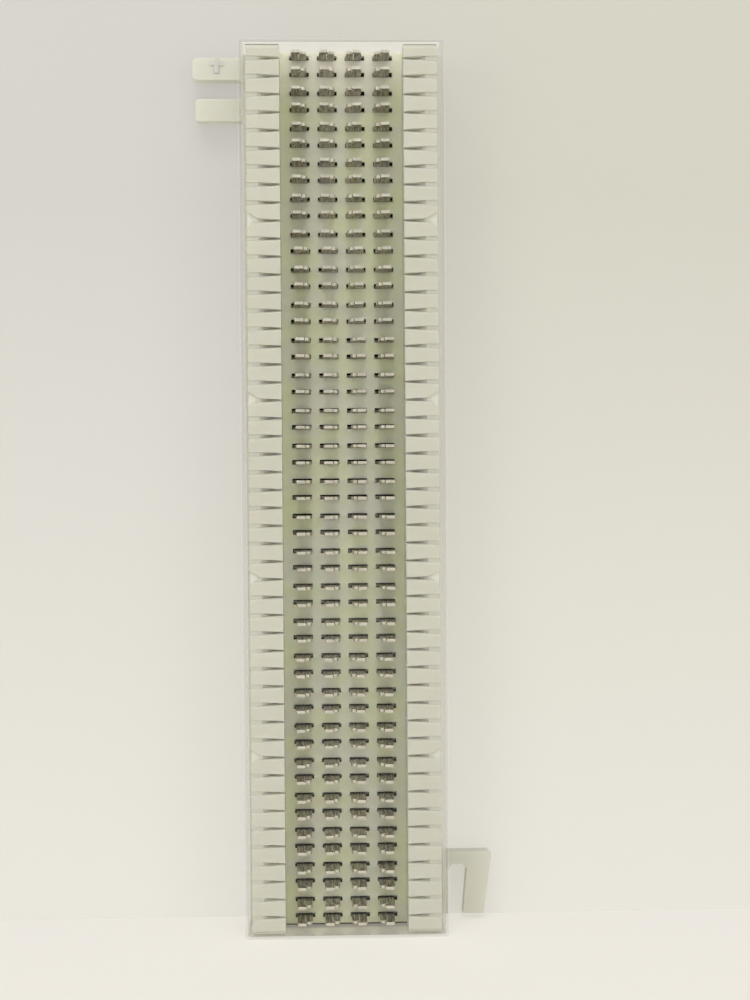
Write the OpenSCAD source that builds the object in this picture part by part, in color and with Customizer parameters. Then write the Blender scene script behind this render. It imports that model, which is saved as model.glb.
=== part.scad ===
// Punch down wiring block, 50 rows by 4 columns, split into left and right pairs,
// with two fanning strips, two mounting ears and a clear lift-off cover.
//
// Millimetres. The block stands on its lower end: +Z is up, -Y is the front that
// the wires are punched into, +X is to the right seen from the front. The origin
// is the middle of the footprint, on the surface that the block stands on.

/* [Rows of contacts] */
// Number of contact rows, in tens
row_count = 50; // [10:10:50]
// Average distance from row to row
row_pitch = 5.08; // [4.96:0.02:5.2]
// Distance between the two rows of a pair
pair_gap = 4.74; // [4.66:0.02:5.08]
// Distance from column to column
column_pitch = 8; // [7.8:0.1:8.3]

/* [Contact face] */
// Width of the sunk face between the fanning strips
face_w = 35.1; // [34.5:0.1:36.5]
// Thickness of the face that the clips pass through
face_t = 3; // [2.4:0.1:3.4]
// Width of a clip slot
slot_w = 5.6; // [5.4:0.1:5.8]
// Height of a clip slot
slot_h = 1.3; // [1.2:0.05:1.5]

/* [Fanning strips] */
// Width of one fanning strip
strip_w = 9.5; // [9:0.1:9.8]
// Height of the teeth above the contact face
strip_h = 11.05; // [10.6:0.05:11.05]
// Height of the wire slits where they are widest
slit_wide = 1.15; // [0.9:0.05:1.4]
// Height of the wire slits at the inner mouth, which grips the wire
slit_narrow = 0.45; // [0.3:0.05:0.8]
// Depth of the slits at the inner mouth, below the top of the teeth
slit_depth = 7; // [5:0.1:10]
// Depth of the slits halfway to their outer end
slit_depth_mid = 5; // [3:0.1:7]
// Depth of the slits at their shallow outer end
slit_depth_out = 1; // [0.9:0.1:3]
// Length of the shallow entry notch at the outer end of each slit
entry_w = 3.3; // [2:0.1:4]
// Depth of the shallow entry notch
entry_depth = 0.5; // [0.3:0.1:0.9]
// Bevel on the upper front edge of each tooth
tooth_bevel = 0.4; // [0.2:0.05:0.6]
// Bevel on the outer ends of the first and last teeth
end_bevel = 1.15; // [0.5:0.05:1.5]
// Leg of the corner bevel below every tenth slit, which marks ten rows
tens_mark = 1.6; // [1:0.1:2]
// Length of the flatter corner bevel above every tenth slit
tens_mark_long = 3.1; // [2:0.1:3.5]
// Depth of these corner bevels
tens_depth = 0.7; // [0.5:0.1:3]

/* [Contact clips] */
// Thickness of the clip metal
clip_t = 0.85; // [0.6:0.05:1]
// Width of one fork
fork_w = 4.4; // [4.2:0.1:4.6]
// Height of the long tip above the contact face
long_tip = 9.9; // [9.4:0.1:10.1]
// Height of the short tip above the contact face
short_tip = 8; // [7.6:0.1:8.4]
// Width of the slit between the two beams of a fork
fork_slit = 0.24; // [0.16:0.02:0.4]

/* [Mounting ears] */
// Width over both ears
ear_span = 86.2; // [84:0.1:90]
// Height of each ear
ear_h = 18.3; // [17:0.1:20]
// Thickness of the base and ears
ear_t = 4.8; // [4:0.1:5]
// Width of the slots for the mounting screws
ear_slot = 5.6; // [5:0.1:6]

/* [Cover] */
// Width of the clear cover
cover_w = 58.3; // [58.3:0.1:60]
// Wall thickness of the cover's long sides
cover_wall = 0.85; // [0.6:0.05:0.85]
// Thickness of the cover's front
cover_front = 0.9; // [0.7:0.05:1]

/* [Hidden] */
$fn = 32;
eps = 0.5;

// Overall length and depth. The cover is a little longer than the rows.
cover_over = 1;
cover_l = row_count * row_pitch + cover_over;
depth = 24;
y_back = depth / 2;
y_front = -depth / 2;
y_ears = y_back - ear_t;
// The contact face stands this far in front of the ears
face_rise = 7;
y_face = y_ears - face_rise;
y_teeth = y_face - strip_h;

// The body stands clear of both end walls of the cover
end_gap = 0.3;
cover_end_wall = 0.7;
body_z0 = cover_end_wall + end_gap;
body_z1 = cover_l - cover_end_wall - end_gap;
body_l = body_z1 - body_z0;
// The lower half of the first row's slit lies one pitch above the foot of the body
mid_z = body_z0 + row_count * row_pitch / 2;

// Height of the flatter corner bevel above a tenth slit
tens_rise = 1.9;

side_gap = 0.3;
body_w = cover_w - 2 * cover_wall - 2 * side_gap;
strip_out = face_w / 2 + strip_w;
strip_in = face_w / 2;
// The body steps out to its full width behind the teeth, this far behind the contact face
base_sink = 1.8;
y_base = y_face + base_sink;

// Hollow for the clip shoulders, and the rebate that the retainer sits in
well_w = 37;
well_end = 1.2;
well_z0 = body_z0 + well_end;
well_l = body_l - 2 * well_end;
rebate_w = 41;
rebate_t = 2;
fit_gap = 0.1;

// Strap and shoulders of a clip, behind the face
shoulder_t = 2.8;
shoulder_w = 0.9;
seat_gap = 0.05;
retainer_rib = 3;

// Cored pockets behind the fanning strips
core_w = 3.8;
core_x = 24.2;
core_rib = 3;
core_end = 6;
core_roof = 1;
core_bays = row_count / 5;

// Fork ear: corners, how much shorter the lower tab is, and the middle of the slot's round root
tab_h = (ear_h - ear_slot) / 2;
tab_corner = 1.2;
tab_corner_low = 0.7;
tab_step = 0.8;
fork_root_x = body_w / 2 + 2.4;

// Hook ear: bar, leg, how far the leg leans in towards its foot, and corners
hook_lift = 0.75;
hook_bar = 3.55;
hook_leg = 7.3;
hook_lean = 2.2;
hook_slot_lean = 1.25;
hook_corner = 0.8;
hook_slot_corner = 1.5;

// Fork tips: the long one has a sloping outer side and reaches past the slit
tip_slope_w = 0.3;
tip_slope_h = 2.3;
tip_reach = 0.42;
tip_flat = 1.6;
tip_throat = 2.6;
slit_root = 1;
// The short tip starts clear of the long one
nib_in = 0.7;
nib_out = 1.6;
nib_h = 0.6;
nib_throat = 1.3;
nib_slope = 1;

// Outer and inner corners of the cover, and the bevel round its front
cover_corner = 1.5;
cover_corner_in = 0.6;
cover_bevel = 0.25;
rim_gap = 0.3;

// Where the clips settled sideways in their slots: last row of each run of rows,
// shift in the left columns, shift in the right columns
clip_play = [[11, -0.1, -0.4], [16, 0.3, -0.1], [34, 0.45, 0.45], [50, -0.05, -0.35]];
// Clips rest on the lower side of their slots
clip_drop = 0.2;

function two_digits(i) = str(i < 10 ? "0" : "", i);
function row_node(i) = str("clip_row_", two_digits(i));
// Rows are numbered from the top, and come in close pairs
function row_z(i) = mid_z + (row_count / 2 - 2 * ceil(i / 2) + 1) * row_pitch
    + (i % 2 == 1 ? 0.5 : -0.5) * pair_gap;
function slit_z(k) = mid_z + (row_count / 2 - k) * row_pitch;
function play(i, side) = [for (run = clip_play) if (i <= run[0]) run[side]][0];

// Raises a front-view outline, drawn as X and Z, from y_from back to y_to in front
module front_extrude(y_from, y_to) {
    translate([0, y_from, 0]) rotate([90, 0, 0]) linear_extrude(height = y_from - y_to) children();
}

// Runs a side-view outline, drawn as Y and Z, along X on both sides of the middle
module side_extrude(width) {
    rotate([90, 0, 90]) translate([0, 0, -width / 2]) linear_extrude(height = width) children();
}

module both_sides() {
    children();
    mirror([1, 0, 0]) children();
}

module rounded_rect(x0, z0, x1, z1, r) {
    translate([x0 + r, z0]) square([x1 - x0 - 2 * r, z1 - z0]);
    translate([x0, z0 + r]) square([x1 - x0, z1 - z0 - 2 * r]);
    for (x = [x0 + r, x1 - r], z = [z0 + r, z1 - r]) translate([x, z]) circle(r = r);
}

// ---- block body ----

// Front view of every wire slit of the right-hand strip, wedge shaped, narrow at the inner mouth
module slit_outlines() {
    x_in = strip_in - eps;
    x_out = strip_out - entry_w;
    for (k = [1:row_count - 1])
        translate([0, slit_z(k)])
            polygon([[x_in, -slit_narrow / 2], [x_out, -slit_wide / 2],
                     [x_out, slit_wide / 2], [x_in, slit_narrow / 2]]);
}

module entry_outlines() {
    for (k = [1:row_count - 1])
        translate([strip_out - entry_w - eps, slit_z(k) - slit_wide / 2])
            square([entry_w + 2 * eps, slit_wide]);
}

// Corner bevels of the teeth on both sides of every tenth slit, the upper one longer and flatter
module tens_outlines() {
    half = slit_wide / 2;
    top = half + tens_rise;
    foot = -half - tens_mark;
    for (k = [10:10:row_count - 1])
        translate([strip_out, slit_z(k)])
            polygon([[-tens_mark_long, half], [-tens_mark, -half], [0, foot], [eps, foot],
                     [eps, top], [0, top]]);
}

// Plan view of the room for the slits, whose floor slopes down to the inner mouth
module slit_room() {
    x_in = strip_in - eps;
    x_out = strip_out - entry_w;
    linear_extrude(height = cover_l)
        polygon([[x_in, y_teeth - eps], [x_in, y_teeth + slit_depth],
                 [(x_in + x_out) / 2, y_teeth + slit_depth_mid],
                 [x_out, y_teeth + slit_depth_out], [x_out, y_teeth - eps]]);
}

module fanning_strip() {
    difference() {
        front_extrude(y_base, y_teeth)
            translate([strip_in, body_z0]) square([strip_w, body_l]);
        front_extrude(y_teeth + tens_depth, y_teeth - eps) tens_outlines();
        intersection() {
            front_extrude(y_teeth + slit_depth, y_teeth - eps) slit_outlines();
            slit_room();
        }
        front_extrude(y_teeth + entry_depth, y_teeth - eps) entry_outlines();
    }
}

// One bevel along the upper front edge of a tooth of the right-hand strip, sloping down outwards
module bevel_cut(b, slope) {
    over = slit_narrow / 2;
    rotate([0, slope, 0]) rotate([90, 0, 90])
        translate([0, 0, -eps]) linear_extrude(height = strip_w + 2 * eps)
            polygon([[-eps, -b - eps], [b + over, over], [-eps, over]]);
}

module tooth_bevels() {
    slope = atan((slit_wide - slit_narrow) / 2 / (strip_w - entry_w));
    for (k = [1:row_count - 1])
        translate([strip_in, y_teeth, slit_z(k) - slit_narrow / 2]) bevel_cut(tooth_bevel, slope);
    translate([strip_in, y_teeth, body_z1]) bevel_cut(end_bevel, 0);
    translate([strip_in, y_teeth, body_z0]) mirror([0, 0, 1]) bevel_cut(end_bevel, 0);
}

module slot_outlines() {
    for (i = [1:row_count], c = [-1.5:1:1.5])
        translate([c * column_pitch - slot_w / 2, row_z(i) - slot_h / 2]) square([slot_w, slot_h]);
}

module contact_face() {
    front_extrude(y_face + face_t, y_face)
        difference() {
            translate([-strip_in, body_z0]) square([face_w, body_l]);
            slot_outlines();
        }
}

// Top left ear: two tabs, the lower one a little shorter
module fork_ear_outline() {
    z0 = body_z1 - ear_h;
    x_out = ear_span / 2;
    mirror([1, 0]) {
        translate([0, body_z1 - tab_h]) rounded_bar(x_out, tab_h, tab_corner);
        translate([0, z0]) rounded_bar(x_out - tab_step, tab_h, tab_corner_low);
        translate([0, z0]) square([fork_root_x, ear_h]);
    }
}

// A bar from the middle out to x_out, with rounded outer corners
module rounded_bar(x_out, h, r) {
    rounded_rect(0, 0, x_out, h, r);
}

// Screw slot of the fork ear, open to the left, with a round root
module fork_slot_outline() {
    translate([-fork_root_x, body_z1 - ear_h / 2]) {
        circle(d = ear_slot);
        translate([-ear_span, -ear_slot / 2]) square([ear_span, ear_slot]);
    }
}

// Bottom right ear: a bar with one leg that leans in, and a screw slot open downwards
module hook_ear_outline() {
    z0 = body_z0 + hook_lift;
    z1 = z0 + ear_h;
    c = hook_corner;
    s = hook_slot_corner;
    x_out = ear_span / 2;
    x_slot = x_out - hook_leg;
    x_slot_in = x_slot - ear_slot;
    slot_top = z1 - hook_bar;
    difference() {
        polygon([[0, z0], [x_out - hook_lean, z0], [x_out, z1 - c], [x_out - c, z1], [0, z1]]);
        polygon([[x_slot_in, z0 - eps], [x_slot - hook_slot_lean, z0 - eps], [x_slot, slot_top - s],
                 [x_slot - s, slot_top], [x_slot_in + s, slot_top], [x_slot_in, slot_top - s]]);
    }
}

// Front view of the base, with the ears, the screw slots and the clip well
module base_outline() {
    difference() {
        union() {
            translate([-body_w / 2, 0]) square([body_w, cover_l]);
            fork_ear_outline();
            hook_ear_outline();
        }
        fork_slot_outline();
        translate([-well_w / 2, well_z0]) square([well_w, well_l]);
    }
}

module core_outlines() {
    bay = (body_l - 2 * core_end) / core_bays;
    for (b = [0:core_bays - 1])
        translate([core_x - core_w / 2, body_z0 + core_end + b * bay + core_rib / 2])
            square([core_w, bay - core_rib]);
}

module block_body() {
    color("#d3d0bd")
        difference() {
            union() {
                both_sides() fanning_strip();
                contact_face();
                // walls of the clip well, behind the strips
                front_extrude(y_ears, y_base)
                    difference() {
                        translate([-body_w / 2, body_z0]) square([body_w, body_l]);
                        translate([-well_w / 2, well_z0]) square([well_w, well_l]);
                    }
                front_extrude(y_back, y_ears) base_outline();
            }
            both_sides() tooth_bevels();
            // rebate for the retainer
            front_extrude(y_back + eps, y_back - rebate_t)
                translate([-rebate_w / 2, well_z0]) square([rebate_w, well_l]);
            both_sides() front_extrude(y_back + eps, y_face + core_roof) core_outlines();
        }
}

// ---- clip retainer ----

// A back plate that fills the rebate, with ribs that press on the clip shoulders
module clip_retainer() {
    length = well_l - 2 * fit_gap;
    color("#d3d0bd")
        translate([0, 0, well_z0 + fit_gap]) {
            front_extrude(y_back, y_back - rebate_t)
                translate([-rebate_w / 2 + fit_gap, 0]) square([rebate_w - 2 * fit_gap, length]);
            front_extrude(y_back, y_face + face_t + shoulder_t + seat_gap)
                for (c = [-1.5:1:1.5])
                    translate([c * column_pitch - retainer_rib / 2, 0])
                        square([retainer_rib, length]);
        }
}

// ---- contact clips ----

// One fork in plan, X and height above the contact face; long tip at the left
module fork_plan() {
    half = fork_w / 2;
    s = fork_slit / 2;
    polygon([[-half, -face_t], [-half, long_tip - tip_slope_h], [-half + tip_slope_w, long_tip],
             [tip_reach, long_tip], [tip_reach, long_tip - tip_flat], [-s, long_tip - tip_throat],
             [-s, slit_root], [s, slit_root], [s, short_tip - nib_throat],
             [nib_in, short_tip - nib_h], [nib_in, short_tip], [nib_out, short_tip],
             [half, short_tip - nib_slope], [half, -face_t]]);
}

// Two forks joined by a strap behind the face
module double_clip_plan() {
    x0 = 0.5 * column_pitch;
    x1 = 1.5 * column_pitch;
    for (x = [-x1, -x0]) translate([x, 0]) fork_plan();
    translate([-x1 - fork_w / 2 - shoulder_w, -face_t - shoulder_t])
        square([x1 - x0 + fork_w + 2 * shoulder_w, shoulder_t]);
}

module clip_row(i) {
    color("#8f8c80")
        for (side = [1, 2])
            translate([play(i, side), y_face, row_z(i) - clip_drop - clip_t / 2])
                mirror([side - 1, 0, 0])
                    linear_extrude(height = clip_t) mirror([0, 1]) double_clip_plan();
}

// ---- cover ----

module cover() {
    y_rim = y_ears - rim_gap;
    b = cover_bevel;
    x_out = cover_w / 2;
    x_in = x_out - cover_wall;
    color("#eef1f2", 0.35)
        difference() {
            front_extrude(y_rim, y_front) rounded_rect(-x_out, 0, x_out, cover_l, cover_corner);
            front_extrude(y_rim + eps, y_front + cover_front)
                rounded_rect(-x_in, cover_end_wall, x_in, cover_l - cover_end_wall,
                             cover_corner_in);
            // bevels round the front
            both_sides()
                translate([x_out, y_front, -eps]) linear_extrude(height = cover_l + 2 * eps)
                    polygon([[-b - eps, -eps], [eps, -eps], [eps, b + eps]]);
            side_extrude(cover_w + 2 * eps)
                for (s = [-1, 1])
                    translate([y_front, s < 0 ? 0 : cover_l]) scale([1, s])
                        polygon([[-eps, eps], [-eps, -b - eps], [b + eps, eps]]);
        }
}

block_body();
clip_retainer();
cover();
for (i = [1:row_count]) clip_row(i);
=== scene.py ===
"""Looks of the punch down wiring block: moulded body, clear cover, tinned contacts, stage and light."""

import math
from types import SimpleNamespace

import bmesh
import bpy
from mathutils import Matrix, Vector


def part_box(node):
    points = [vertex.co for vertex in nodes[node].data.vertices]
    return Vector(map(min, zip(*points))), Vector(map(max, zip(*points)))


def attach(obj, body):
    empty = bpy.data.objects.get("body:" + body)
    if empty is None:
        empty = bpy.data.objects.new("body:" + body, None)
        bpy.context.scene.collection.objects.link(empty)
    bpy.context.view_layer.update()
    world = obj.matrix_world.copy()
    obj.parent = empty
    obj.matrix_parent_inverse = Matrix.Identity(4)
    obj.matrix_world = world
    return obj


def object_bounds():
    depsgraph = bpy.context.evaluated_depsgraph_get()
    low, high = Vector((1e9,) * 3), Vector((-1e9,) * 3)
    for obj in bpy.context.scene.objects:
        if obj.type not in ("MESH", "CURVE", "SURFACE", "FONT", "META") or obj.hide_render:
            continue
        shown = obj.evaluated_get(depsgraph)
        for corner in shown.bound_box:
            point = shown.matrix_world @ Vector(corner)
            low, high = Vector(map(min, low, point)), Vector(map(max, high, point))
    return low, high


MM = 0.001

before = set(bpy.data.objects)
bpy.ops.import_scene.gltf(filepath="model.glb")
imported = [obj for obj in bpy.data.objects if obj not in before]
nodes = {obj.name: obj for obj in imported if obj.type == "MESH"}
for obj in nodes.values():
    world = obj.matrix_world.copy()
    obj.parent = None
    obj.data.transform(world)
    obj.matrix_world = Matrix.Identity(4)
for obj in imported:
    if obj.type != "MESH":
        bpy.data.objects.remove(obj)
cad_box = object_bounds()


# ---- camera ----

CAMERA_PLACE = Vector((-8.4, -499.8, 135.7)) * MM
CAMERA_YAW = -0.035
CAMERA_PITCH = -0.022
CAMERA_ROLL = 0.0068
CAMERA_LENS = 62.0
SENSOR = 36.0
NEAREST, FARTHEST = 0.01, 100.0


def make_camera():
    """Stands in front of the block at half its height, level but for a degree or so."""
    data = bpy.data.cameras.new("camera")
    data.sensor_width = SENSOR
    data.lens = CAMERA_LENS
    data.clip_start = NEAREST
    data.clip_end = FARTHEST
    camera = bpy.data.objects.new("camera", data)
    turn = (Matrix.Rotation(CAMERA_YAW, 4, "Z") @ Matrix.Rotation(CAMERA_PITCH, 4, "X")
            @ Matrix.Rotation(CAMERA_ROLL, 4, "Y"))
    level = Matrix.Rotation(math.pi / 2, 4, "X")
    camera.matrix_world = Matrix.Translation(CAMERA_PLACE) @ turn @ level
    bpy.context.scene.collection.objects.link(camera)
    bpy.context.scene.camera = camera


# ---- node helpers ----

def linear(code):
    """Linear RGBA of an sRGB hex colour."""
    channels = [int(code[i:i + 2], 16) / 255 for i in (0, 2, 4)]
    return [c / 12.92 if c <= 0.04045 else ((c + 0.055) / 1.055) ** 2.4 for c in channels] + [1.0]


def add(tree, kind, settings=None, inputs=None):
    """Adds one node. An input given as a node is linked from that node's first output in use, one
    given as a socket is linked from it, and anything else is set as the input's value."""
    node = tree.nodes.new(kind)
    for name, value in (settings or {}).items():
        setattr(node, name, value)
    for name, value in (inputs or {}).items():
        if isinstance(value, bpy.types.Node):
            value = next(output for output in value.outputs if output.enabled)
        if isinstance(value, bpy.types.NodeSocket):
            tree.links.new(value, node.inputs[name])
        else:
            node.inputs[name].default_value = value
    return node


# Nodes that are used often, each as its kind and settings.
PLUS = "ShaderNodeMath", {"operation": "ADD"}
MINUS = "ShaderNodeMath", {"operation": "SUBTRACT"}
TIMES = "ShaderNodeMath", {"operation": "MULTIPLY"}
POWER = "ShaderNodeMath", {"operation": "POWER"}
LARGER = "ShaderNodeMath", {"operation": "MAXIMUM"}
BELOW = "ShaderNodeMath", {"operation": "LESS_THAN"}
ABOVE = "ShaderNodeMath", {"operation": "GREATER_THAN"}
UNSIGNED = "ShaderNodeMath", {"operation": "ABSOLUTE"}
LINE = "ShaderNodeMapRange", {"interpolation_type": "LINEAR"}
EASE = "ShaderNodeMapRange", {"interpolation_type": "SMOOTHSTEP"}
NOISE = "ShaderNodeTexNoise", {}
BLEND = "ShaderNodeMix", {"data_type": "RGBA"}
TINT = "ShaderNodeMix", {"data_type": "RGBA", "blend_type": "MULTIPLY"}
EITHER = "ShaderNodeMixShader", {}
SPLIT = "ShaderNodeSeparateXYZ", {}


def overlap(tree, *masks):
    """Where all the masks hold."""
    shared = masks[0]
    for mask in masks[1:]:
        shared = add(tree, *TIMES, {0: shared, 1: mask})
    return shared


def new_material(name):
    """An empty material and its tree."""
    material = bpy.data.materials.new(name)
    material.use_nodes = True
    material.node_tree.nodes.clear()
    return material, material.node_tree


# ---- moulded body ----

# Places on the body and the retainer, in the frame's axes. Depths run from front to back.
BODY_FOOT = 1.0 * MM
BODY_HEAD = cad_box[1][2] - BODY_FOOT
MID_HEIGHT = (cad_box[0][2] + cad_box[1][2]) / 2
TROUGH_HALF = 17.6 * MM
FACE_FRONT = 0.2 * MM
FACE_BACK = 3.4 * MM
WELL_HALF = 18.45 * MM
WELL_HALF_LENGTH = 125.3 * MM
WELL_BACK = 11.5 * MM
TEETH_FRONT = -10.85 * MM
STRIP_OUT = 26.9 * MM
STRIP_HALF_LENGTH = 126.2 * MM
SLIT_DEPTH = 7.2 * MM

# Widths of the patterns. The grain of the tool is drawn a few times as coarse as it is, to show.
FLOW_WIDTH = 26.3 * MM
PATCH_WIDTH = 14.3 * MM
GRAIN_WIDTH = 0.385 * MM
GRAIN_HEIGHT = 0.05 * MM

# Where the painted tint of bounced light, the painted light and the painted shade begin and are full,
# and the patches of tint by the noise that makes them.
SUNK_FACE_START = -9 * MM
PATCH_START, PATCH_FULL = 0.38, 0.62
TOP_LIGHT_START, TOP_LIGHT_FULL = BODY_HEAD - 16 * MM, BODY_HEAD - 4 * MM
SLIT_LIGHT_START, SLIT_LIGHT_FULL, SLIT_LIGHT_FADE = 0.35 * MM, 1.35 * MM, 0.5 * MM
SLOT_SHADE_START, SLOT_SHADE_FULL = FACE_FRONT + 0.05 * MM, FACE_FRONT + 0.45 * MM
FOOT_SHADOW_START, FOOT_SHADOW_FULL = BODY_FOOT + 0.5 * MM, BODY_FOOT + 0.2 * MM
HEAD_SHADOW_START, HEAD_SHADOW_FULL = BODY_HEAD - 0.45 * MM, BODY_HEAD - 0.25 * MM
HEAD_SHADOW_SHARE = 0.7
HEAD_SHADOW_DEPTH = 1.4 * MM

EDGE_ROUNDING = 0.2 * MM
CLOUD_DEPTH = 2.2 * MM


def body_places(tree, point):
    """Distances and masks by which the painted tint, painted light and painted shade are laid on the
    body.
    """
    xyz = add(tree, *SPLIT, {"Vector": point}).outputs
    depth, height = xyz["Y"], xyz["Z"]
    across = add(tree, *UNSIGNED, {0: xyz["X"]})
    in_trough = add(tree, *BELOW, {0: across, 1: TROUGH_HALF})
    sunk = add(tree, *EASE, {"Value": depth, "From Min": SUNK_FACE_START, "From Max": FACE_FRONT})
    return SimpleNamespace(
        point=point, depth=depth, height=height, across=across,
        along=add(tree, *UNSIGNED, {0: add(tree, *MINUS, {0: height, 1: MID_HEIGHT})}),
        below_teeth=add(tree, *MINUS, {0: depth, 1: TEETH_FRONT}),
        beside_trough=add(tree, *MINUS, {0: 1.0, 1: in_trough}),
        on_face=overlap(tree, in_trough, sunk, add(tree, *BELOW, {0: depth, 1: FACE_BACK})))


def tinted_and_top_lit(tree, at, clean):
    """A yellow-green tint in patches on the sunk face, a painted cast of light bounced off the clips,
    palest where painted light falls in at its open upper end.
    """
    patches = add(tree, *NOISE, {"Vector": at.point, "Scale": 1 / PATCH_WIDTH, "Detail": 3.0})
    patch = add(tree, *EASE, {"Value": patches, "From Min": PATCH_START, "From Max": PATCH_FULL})
    # Painted tint of light bounced off the clips: yellow-green, in patches, on the sunk face.
    bounce_tint = add(tree, *BLEND, {"Factor": patch, "A": linear("e9edca"), "B": linear("e7e8d6")})
    # Painted light: the sunk face is painted palest at its open upper end, where light from above falls
    # in.
    top_light = add(tree, *EASE, {"Value": at.height, "From Min": TOP_LIGHT_START,
                                "From Max": TOP_LIGHT_FULL})
    top_lit_tint = add(tree, *BLEND, {"Factor": top_light, "A": bounce_tint, "B": linear("fffee9")})
    return add(tree, *BLEND, {"Factor": at.on_face, "A": clean, "B": top_lit_tint})


def lit_slits(tree, at, clean):
    """Painted light that makes the slits of the strips pale, where their depth would shade them, but
    hardly in their shallow outer notches.
    """
    slit_light = overlap(tree, at.beside_trough,
                       add(tree, *BELOW, {0: at.across, 1: STRIP_OUT}),
                       add(tree, *BELOW, {0: at.along, 1: STRIP_HALF_LENGTH}),
                       add(tree, *LINE, {"Value": at.below_teeth, "From Min": SLIT_LIGHT_START,
                                         "From Max": SLIT_LIGHT_FULL}),
                       add(tree, *EASE, {"Value": at.below_teeth, "From Min": SLIT_DEPTH + SLIT_LIGHT_FADE,
                                         "From Max": SLIT_DEPTH}))
    # Painted light: the slits are painted pale against the shade of their depth.
    return add(tree, *BLEND, {"Factor": slit_light, "A": clean, "B": linear("fffdf4")})


def painted_shade(tree, at, clean):
    """Painted shade, near black, in the slots and the well behind them, and painted shadow in thin
    lines along the foot of the sunk face and the heads of the strips, where gaps by the cover lie in
    shade."""
    well_shade = overlap(tree, add(tree, *EASE, {"Value": at.depth, "From Min": SLOT_SHADE_START,
                                              "From Max": SLOT_SHADE_FULL}),
                      add(tree, *BELOW, {0: at.depth, 1: WELL_BACK}),
                      add(tree, *BELOW, {0: at.across, 1: WELL_HALF}),
                      add(tree, *BELOW, {0: at.along, 1: WELL_HALF_LENGTH}))
    foot_shadow = overlap(tree, at.on_face,
                        add(tree, *EASE, {"Value": at.height, "From Min": FOOT_SHADOW_START,
                                          "From Max": FOOT_SHADOW_FULL}))
    head_shadow = overlap(tree, at.beside_trough,
                        add(tree, *EASE, {"Value": at.height, "From Min": HEAD_SHADOW_START,
                                          "From Max": HEAD_SHADOW_FULL, "To Max": HEAD_SHADOW_SHARE}),
                        add(tree, *BELOW, {0: at.below_teeth, 1: HEAD_SHADOW_DEPTH}))
    lines = add(tree, *LARGER, {0: foot_shadow, 1: head_shadow})
    shade_mask = add(tree, *LARGER, {0: well_shade, 1: lines})
    # Painted shade and painted shadow, near black.
    return add(tree, *BLEND, {"Factor": shade_mask, "A": clean, "B": linear("100f0b")})


def moulded_polyester():
    """Flame-retardant polyester, moulded in a fine spark-eroded tool: off-white, low sheen, a little
    cloudy in depth and a little uneven where the melt flowed. A painted tint of bounced light,
    painted light and painted shade lie on it."""
    material, tree = new_material("moulded_polyester")
    point = add(tree, "ShaderNodeTexCoord").outputs["Object"]
    flow = add(tree, *NOISE, {"Vector": point, "Scale": 1 / FLOW_WIDTH, "Detail": 3.0})
    clean = add(tree, *BLEND, {"Factor": flow, "A": linear("cfcfc0"), "B": linear("d8d6ca")})
    at = body_places(tree, point)
    # The plain colour with the painted bounced tint and top light, painted slit light and painted
    # shade.
    colour = painted_shade(tree, at, lit_slits(tree, at, tinted_and_top_lit(tree, at, clean)))
    grain = add(tree, *NOISE, {"Vector": point, "Scale": 1 / GRAIN_WIDTH, "Detail": 2.0})
    rounded = add(tree, "ShaderNodeBevel", {"samples": 4}, {"Radius": EDGE_ROUNDING})
    bump = add(tree, "ShaderNodeBump", {}, {"Height": grain, "Strength": 0.12,
                                            "Distance": GRAIN_HEIGHT, "Normal": rounded})
    shader = add(tree, "ShaderNodeBsdfPrincipled", {},
                 {"Base Color": colour, "Roughness": 0.42, "Normal": bump,
                  "Subsurface Weight": 0.5, "Subsurface Radius": (1.0, 0.9, 0.6),
                  "Subsurface Scale": CLOUD_DEPTH})
    add(tree, "ShaderNodeOutputMaterial", {}, {"Surface": shader})
    return material


# ---- clear cover ----

# How far a face's normal runs along an axis that the face is square to, and at least on a bevel.
SQUARE_ON = 0.9
BEVEL_LEAST = 0.5

# Shares of the mirror and the milk in the look of a wall, and how much of the mirror is dulled.
MIRROR_LEAST, MIRROR_SHARE, MIRROR_POWER = 0.02, 0.88, 3.0
TOP_DULLING, SIDE_DULLING = 0.85, 0.65
BEVEL_MILK, WALL_MILK, END_MILK, TOP_MILK = 0.25, 0.4, 0.75, 0.6


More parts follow.
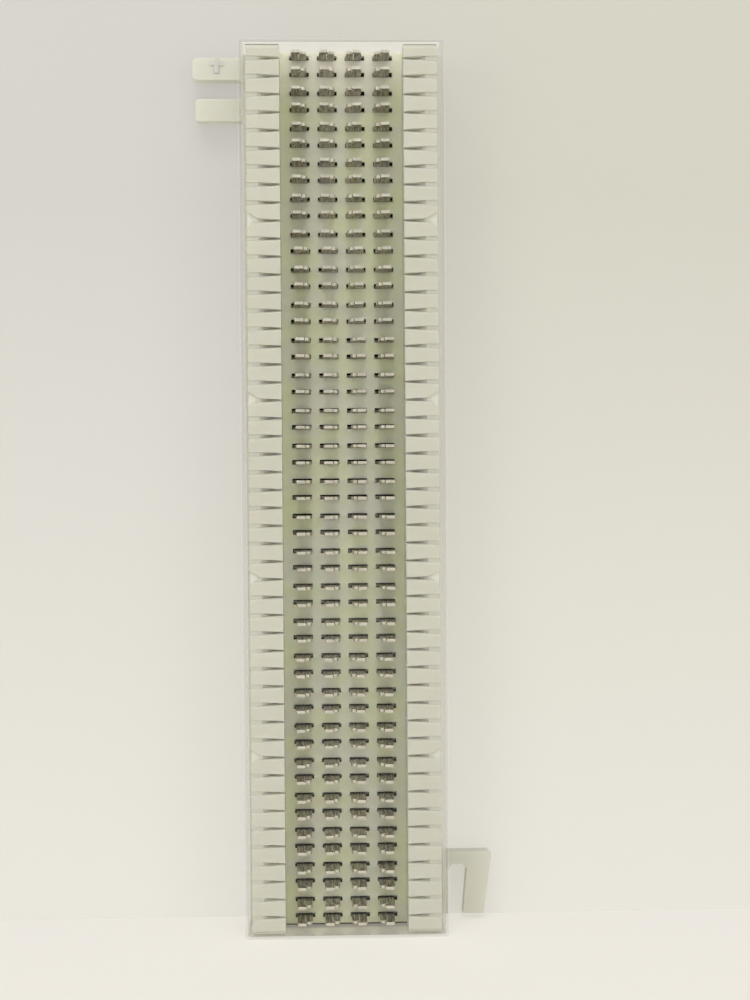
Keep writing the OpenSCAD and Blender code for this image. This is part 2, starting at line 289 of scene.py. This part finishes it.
def clear_polycarbonate():
    """Clear polycarbonate, moulded thin in a polished tool. A thin wall bends nothing, so it lets
    light straight through. On the side it is met from it mirrors, more the more slantwise, and looks
    milky from the long way through it, lit by what comes through from its other side. The bevel
    round the front is a little frosted, the sides are dulled by hands, and the upper end, where the
    melt was fed in, is milky. What a wall mirrors away from the block is not taken off its light."""
    material, tree = new_material("clear_polycarbonate")
    point = add(tree, "ShaderNodeTexCoord").outputs["Object"]
    height = add(tree, *SPLIT, {"Vector": point}).outputs["Z"]
    surface = add(tree, "ShaderNodeNewGeometry").outputs
    normal = add(tree, *SPLIT, {"Vector": surface["True Normal"]}).outputs
    sideness, frontness, endness = [add(tree, *UNSIGNED, {0: normal[axis]}) for axis in "XYZ"]
    met = add(tree, *MINUS, {0: 1.0, 1: surface["Backfacing"]})
    slant = add(tree, "ShaderNodeLayerWeight", {}, {"Blend": 0.5}).outputs["Facing"]
    on_side = add(tree, *ABOVE, {0: sideness, 1: SQUARE_ON})
    on_bevel = overlap(tree, add(tree, *ABOVE, {0: frontness, 1: BEVEL_LEAST}),
                       add(tree, *BELOW, {0: frontness, 1: SQUARE_ON}))
    on_end = add(tree, *ABOVE, {0: endness, 1: SQUARE_ON})
    at_top = overlap(tree, on_end, add(tree, *ABOVE, {0: height, 1: BODY_HEAD}))

    steep = add(tree, *TIMES, {0: add(tree, *POWER, {0: slant, 1: MIRROR_POWER}), 1: MIRROR_SHARE})
    polish = add(tree, *PLUS, {0: steep, 1: MIRROR_LEAST})
    dulled = add(tree, *LARGER, {0: add(tree, *TIMES, {0: at_top, 1: TOP_DULLING}),
                                 1: add(tree, *TIMES, {0: on_side, 1: SIDE_DULLING})})
    to_lamp = add(tree, "ShaderNodeLightPath").outputs["Is Shadow Ray"]
    lost = add(tree, *LARGER, {0: dulled, 1: to_lamp})
    mirror = overlap(tree, polish, met, add(tree, *MINUS, {0: 1.0, 1: lost}))

    cloud = add(tree, *LINE, {"Value": on_end, "To Min": WALL_MILK, "To Max": END_MILK})
    slant_milk = add(tree, *TIMES, {0: slant, 1: cloud})
    moulded_milk = add(tree, *LARGER, {0: add(tree, *TIMES, {0: on_bevel, 1: BEVEL_MILK}),
                                       1: add(tree, *TIMES, {0: at_top, 1: TOP_MILK})})
    milk = overlap(tree, add(tree, *LARGER, {0: moulded_milk, 1: slant_milk}), met)

    through = add(tree, "ShaderNodeBsdfTransparent", {}, {"Color": linear("fafafa")})
    cloudy = add(tree, "ShaderNodeBsdfTranslucent", {}, {"Color": linear("f5f2e6")})
    frosted = add(tree, "ShaderNodeBsdfDiffuse", {}, {"Color": linear("f5f3f0")})
    gloss = add(tree, "ShaderNodeBsdfGlossy", {}, {"Color": linear("ffffff"), "Roughness": 0.07})
    haze = add(tree, *EITHER, {0: on_bevel, 1: cloudy, 2: frosted})
    wall = add(tree, *EITHER, {0: milk, 1: through, 2: haze})
    shader = add(tree, *EITHER, {0: mirror, 1: wall, 2: gloss})
    add(tree, "ShaderNodeOutputMaterial", {}, {"Surface": shader})
    return material


# ---- tinned contacts ----

# Streaks of the rolled strip, across it, from root to tip and up it. They are drawn coarse, to show.
STREAK_WIDTHS = 0.417 * MM, 6.25 * MM, 0.833 * MM
STREAK_HEIGHT = 0.06 * MM
STREAK_START, STREAK_FULL = 0.36, 0.64
STAIN_WIDTH = 3.33 * MM
# Upness of the normal over which the painted dark face tone takes over from the painted bright edge
# tone.
FACE_START, FACE_FULL = 0.6, 0.95
LEAST_ROUGH, MOST_ROUGH = 0.36, 0.5


def tinned_bronze():
    """Phosphor bronze strip with a hot tin finish, blanked on a press. Its blanked edges are painted
    bright and a little warm as a painted highlight, its faces painted darker as a painted reflection of
    the dark room; the faces carry the streaks of the rolled strip from root to tip."""
    material, tree = new_material("tinned_bronze")
    point = add(tree, "ShaderNodeTexCoord").outputs["Object"]
    stretched = add(tree, "ShaderNodeMapping", {}, {"Vector": point,
                                                    "Scale": [1 / width for width in STREAK_WIDTHS]})
    rolled = add(tree, *NOISE, {"Vector": stretched, "Scale": 1.0, "Detail": 2.0})
    stain = add(tree, *NOISE, {"Vector": point, "Scale": 1 / STAIN_WIDTH, "Detail": 3.0})
    streak = add(tree, *LINE, {"Value": rolled, "From Min": STREAK_START, "From Max": STREAK_FULL})
    # Painted reflection and painted highlight: faces painted darker, blanked edges painted bright.
    shaded_face_tone = add(tree, *BLEND, {"Factor": streak, "A": linear("7c766a"), "B": linear("d3cdbe")})
    lit_edge_tone = add(tree, *BLEND, {"Factor": stain, "A": linear("dcd5c3"), "B": linear("f4f0e3")})
    normal = add(tree, "ShaderNodeNewGeometry").outputs["True Normal"]
    upness = add(tree, *UNSIGNED, {0: add(tree, *SPLIT, {"Vector": normal}).outputs["Z"]})
    on_face = add(tree, *LINE, {"Value": upness, "From Min": FACE_START, "From Max": FACE_FULL})
    colour = add(tree, *BLEND, {"Factor": on_face, "A": lit_edge_tone, "B": shaded_face_tone})
    rough = add(tree, *LINE, {"Value": stain, "To Min": LEAST_ROUGH, "To Max": MOST_ROUGH})
    bump = add(tree, "ShaderNodeBump", {}, {"Height": rolled, "Strength": 0.35,
                                            "Distance": STREAK_HEIGHT})
    shader = add(tree, "ShaderNodeBsdfPrincipled", {},
                 {"Base Color": colour, "Metallic": 1.0, "Roughness": rough, "Normal": bump})
    add(tree, "ShaderNodeOutputMaterial", {}, {"Surface": shader})
    return material


# ---- stage and light ----

# How high the wall is painted lighter by the floor's bounced light, its warmth from left to right and
# its share under even light.
BOUNCE_HEIGHT = 215 * MM
WARM_START, WARM_FULL = -40 * MM, 60 * MM
EVEN_SHARE = 0.6

# The stage, in metres.
FLOOR_HALF = 3.0
WALL_HALF = 1.5
WALL_HEIGHT = 1.6
WALL_GAP = 2 * MM

# Strength of the room's light on the block and as it is seen, and how far forward a glossy ray
# has to look to meet the dark.
ROOM_STRENGTH = 0.45
SEEN_STRENGTH = 0.95
DARK_START, DARK_FULL = -0.9, -0.97

# Each lamp's place, width and height in metres, its watts and its colour.
KEY = (-0.15, -0.95, 1.35), 1.4, 0.7, 11.0, "ffffff"
LEFT_FILL = (-1.1, -1.3, 0.35), 0.8, 0.8, 5.5, "fcfcff"
RIGHT_FILL = (1.1, -1.3, 0.35), 0.8, 0.8, 5.5, "fffefa"
LAMPS_POINT_AT = Vector((0.0, 0.0, 0.13))


def matt_paint(name, low_code, high_code, shown_behind):
    """Matt paint on the stage, painted lighter near the floor for the light it bounces, and warmer high
    on the right. What looks at it sees a share of its own colour under even light. A wall that stands
    close behind the block lets lamps and bounced light through and is open from its back, so that the
    back of the block is lit and can be seen."""
    material, tree = new_material(name)
    point = add(tree, "ShaderNodeTexCoord").outputs["Object"]
    xyz = add(tree, *SPLIT, {"Vector": point}).outputs
    # Painted light: the wall is painted lighter towards the floor, for the light the floor bounces onto
    # it.
    height = add(tree, *LINE, {"Value": xyz["Z"], "From Max": BOUNCE_HEIGHT})
    bounce_lit = add(tree, *BLEND, {"Factor": height, "A": linear(low_code), "B": linear(high_code)})
    right = add(tree, *EASE, {"Value": xyz["X"], "From Min": WARM_START, "From Max": WARM_FULL})
    colour = add(tree, *TINT, {"Factor": overlap(tree, height, right), "A": bounce_lit,
                               "B": linear("fffff8")})
    path = add(tree, "ShaderNodeLightPath").outputs
    lit = add(tree, *LARGER, {0: path["Is Shadow Ray"], 1: path["Is Diffuse Ray"]})
    even_share = add(tree, *TIMES, {0: add(tree, *MINUS, {0: 1.0, 1: lit}), 1: EVEN_SHARE})
    paint = add(tree, "ShaderNodeBsdfDiffuse", {}, {"Color": colour})
    even = add(tree, "ShaderNodeEmission", {}, {"Color": colour, "Strength": 1.0})
    shader = add(tree, *EITHER, {0: even_share, 1: paint, 2: even})
    if not shown_behind:
        back = add(tree, "ShaderNodeNewGeometry").outputs["Backfacing"]
        clear = add(tree, "ShaderNodeBsdfTransparent")
        shader = add(tree, *EITHER, {0: add(tree, *LARGER, {0: lit, 1: back}), 1: shader, 2: clear})
    add(tree, "ShaderNodeOutputMaterial", {}, {"Surface": shader})
    return material


def plane(name, corners, material):
    """One flat face of the stage."""
    mesh = bpy.data.meshes.new(name)
    mesh.from_pydata(corners, [], [(0, 1, 2, 3)])
    mesh.materials.append(material)
    obj = bpy.data.objects.new(name, mesh)
    bpy.context.scene.collection.objects.link(obj)


def make_stage():
    """A floor under the block and a wall just behind it."""
    a, b = FLOOR_HALF, WALL_HALF
    back = cad_box[1][1] + WALL_GAP
    plane("floor", [(-a, -a, 0), (a, -a, 0), (a, a, 0), (-a, a, 0)],
          matt_paint("floor_paint", "f5f1e8", "f5f1e8", True))
    plane("wall", [(-b, back, 0), (b, back, 0), (b, back, WALL_HEIGHT), (-b, back, WALL_HEIGHT)],
          matt_paint("wall_paint", "e9e6de", "d2d0c9", False))


def area_light(name, place, width, height, watts, code):
    """A lamp that points at the middle of the block."""
    data = bpy.data.lights.new(name, "AREA")
    data.shape = "RECTANGLE"
    data.size = width
    data.size_y = height
    data.energy = watts
    data.color = linear(code)[:3]
    lamp = bpy.data.objects.new(name, data)
    bpy.context.scene.collection.objects.link(lamp)
    lamp.location = place
    lamp.rotation_euler = (LAMPS_POINT_AT - Vector(place)).to_track_quat("-Z", "Y").to_euler()


def room_light():
    """Even light from all round. Clear and polished faces mirror a dark room behind the camera."""
    world = bpy.data.worlds.new("room")
    bpy.context.scene.world = world
    world.use_nodes = True
    tree = world.node_tree
    tree.nodes.clear()
    direction = add(tree, "ShaderNodeTexCoord").outputs["Generated"]
    depth = add(tree, *SPLIT, {"Vector": direction}).outputs["Y"]
    frontness = add(tree, *EASE, {"Value": depth, "From Min": DARK_START, "From Max": DARK_FULL})
    path = add(tree, "ShaderNodeLightPath").outputs
    glossy = path["Is Glossy Ray"]
    colour = add(tree, *BLEND, {"Factor": overlap(tree, frontness, glossy), "A": linear("f8f8f8"),
                                "B": linear("101010")})
    looked_at = add(tree, *LARGER, {0: path["Is Camera Ray"], 1: path["Is Transmission Ray"]})
    seen = add(tree, *LARGER, {0: glossy, 1: looked_at})
    strength = add(tree, *LINE, {"Value": seen, "To Min": ROOM_STRENGTH, "To Max": SEEN_STRENGTH})
    sky = add(tree, "ShaderNodeBackground", {}, {"Color": colour, "Strength": strength})
    add(tree, "ShaderNodeOutputWorld", {}, {"Surface": sky})


def make_light():
    """A broad lamp high in front, one on each side and the even light of the room."""
    area_light("key", *KEY)
    area_light("left_fill", *LEFT_FILL)
    area_light("right_fill", *RIGHT_FILL)
    room_light()


# ---- finishing of the pieces ----

ARROW_HEIGHT = 4.6 * MM
ARROW_WIDTH = 4.2 * MM
ARROW_SHAFT = 1.5 * MM
ARROW_HEAD = 2.4 * MM
ARROW_RELIEF = 0.3 * MM
ARROW_ROOT = 0.1 * MM
ARROW_ROUNDING = 0.12 * MM
EAR_THICKNESS = 4.8 * MM
TAB_HEIGHT = 6.35 * MM
CLIP_ROUNDING = 0.09 * MM
WELD_GAP = 0.001 * MM
SHARP_ANGLE = math.radians(35)


def dress(node, material):
    """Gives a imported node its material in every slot."""
    mesh = nodes[node].data
    mesh.materials.clear()
    mesh.materials.append(material)


def soften(obj, radius):
    """Rounds the sharp edges of a piece."""
    bevel = obj.modifiers.new("rounded_edge", "BEVEL")
    bevel.width = radius
    bevel.segments = 2
    bevel.limit_method = "ANGLE"
    bevel.angle_limit = SHARP_ANGLE


def tumble(node):
    """Tumbled edges on a row of clips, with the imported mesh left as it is."""
    weld = nodes[node].modifiers.new("weld", "WELD")
    weld.merge_threshold = WELD_GAP
    soften(nodes[node], CLIP_ROUNDING)


def arrow_outline():
    """An arrow that points up, round its own middle, as seen from the front."""
    top, neck, foot = ARROW_HEIGHT / 2, ARROW_HEIGHT / 2 - ARROW_HEAD, -ARROW_HEIGHT / 2
    wing, stem = ARROW_WIDTH / 2, ARROW_SHAFT / 2
    return [(0, top), (-wing, neck), (-stem, neck), (-stem, foot), (stem, foot), (stem, neck),
            (wing, neck)]


def make_ear_arrow(material):
    """Raised arrow, moulded on the upper tab, that shows which end goes up."""
    x = (cad_box[0][0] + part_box("cover")[0][0]) / 2
    y = cad_box[1][1] - EAR_THICKNESS
    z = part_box("block_body")[1][2] - TAB_HEIGHT / 2
    outline = arrow_outline()
    count = len(outline)
    corners = [(x + u, y + depth, z + v) for depth in (-ARROW_RELIEF, ARROW_ROOT) for u, v in outline]
    front, root = tuple(range(count)), tuple(reversed(range(count, 2 * count)))
    sides = [(i, (i + 1) % count, (i + 1) % count + count, i + count) for i in range(count)]
    mesh = bpy.data.meshes.new("ear_arrow")
    mesh.from_pydata(corners, [], [front, root] + sides)
    shape = bmesh.new()
    shape.from_mesh(mesh)
    bmesh.ops.recalc_face_normals(shape, faces=shape.faces)
    shape.to_mesh(mesh)
    shape.free()
    mesh.materials.append(material)
    arrow = bpy.data.objects.new("ear_arrow", mesh)
    bpy.context.scene.collection.objects.link(arrow)
    soften(arrow, ARROW_ROUNDING)
    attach(arrow, "block")


make_camera()
body_plastic = moulded_polyester()
for name in ("block_body", "clip_retainer"):
    dress(name, body_plastic)
dress("cover", clear_polycarbonate())
contact_metal = tinned_bronze()
for name in nodes:
    if name.startswith("clip_row_"):
        dress(name, contact_metal)
        tumble(name)
make_ear_arrow(body_plastic)
make_stage()
make_light()

bpy.context.scene.view_settings.view_transform = "Standard"
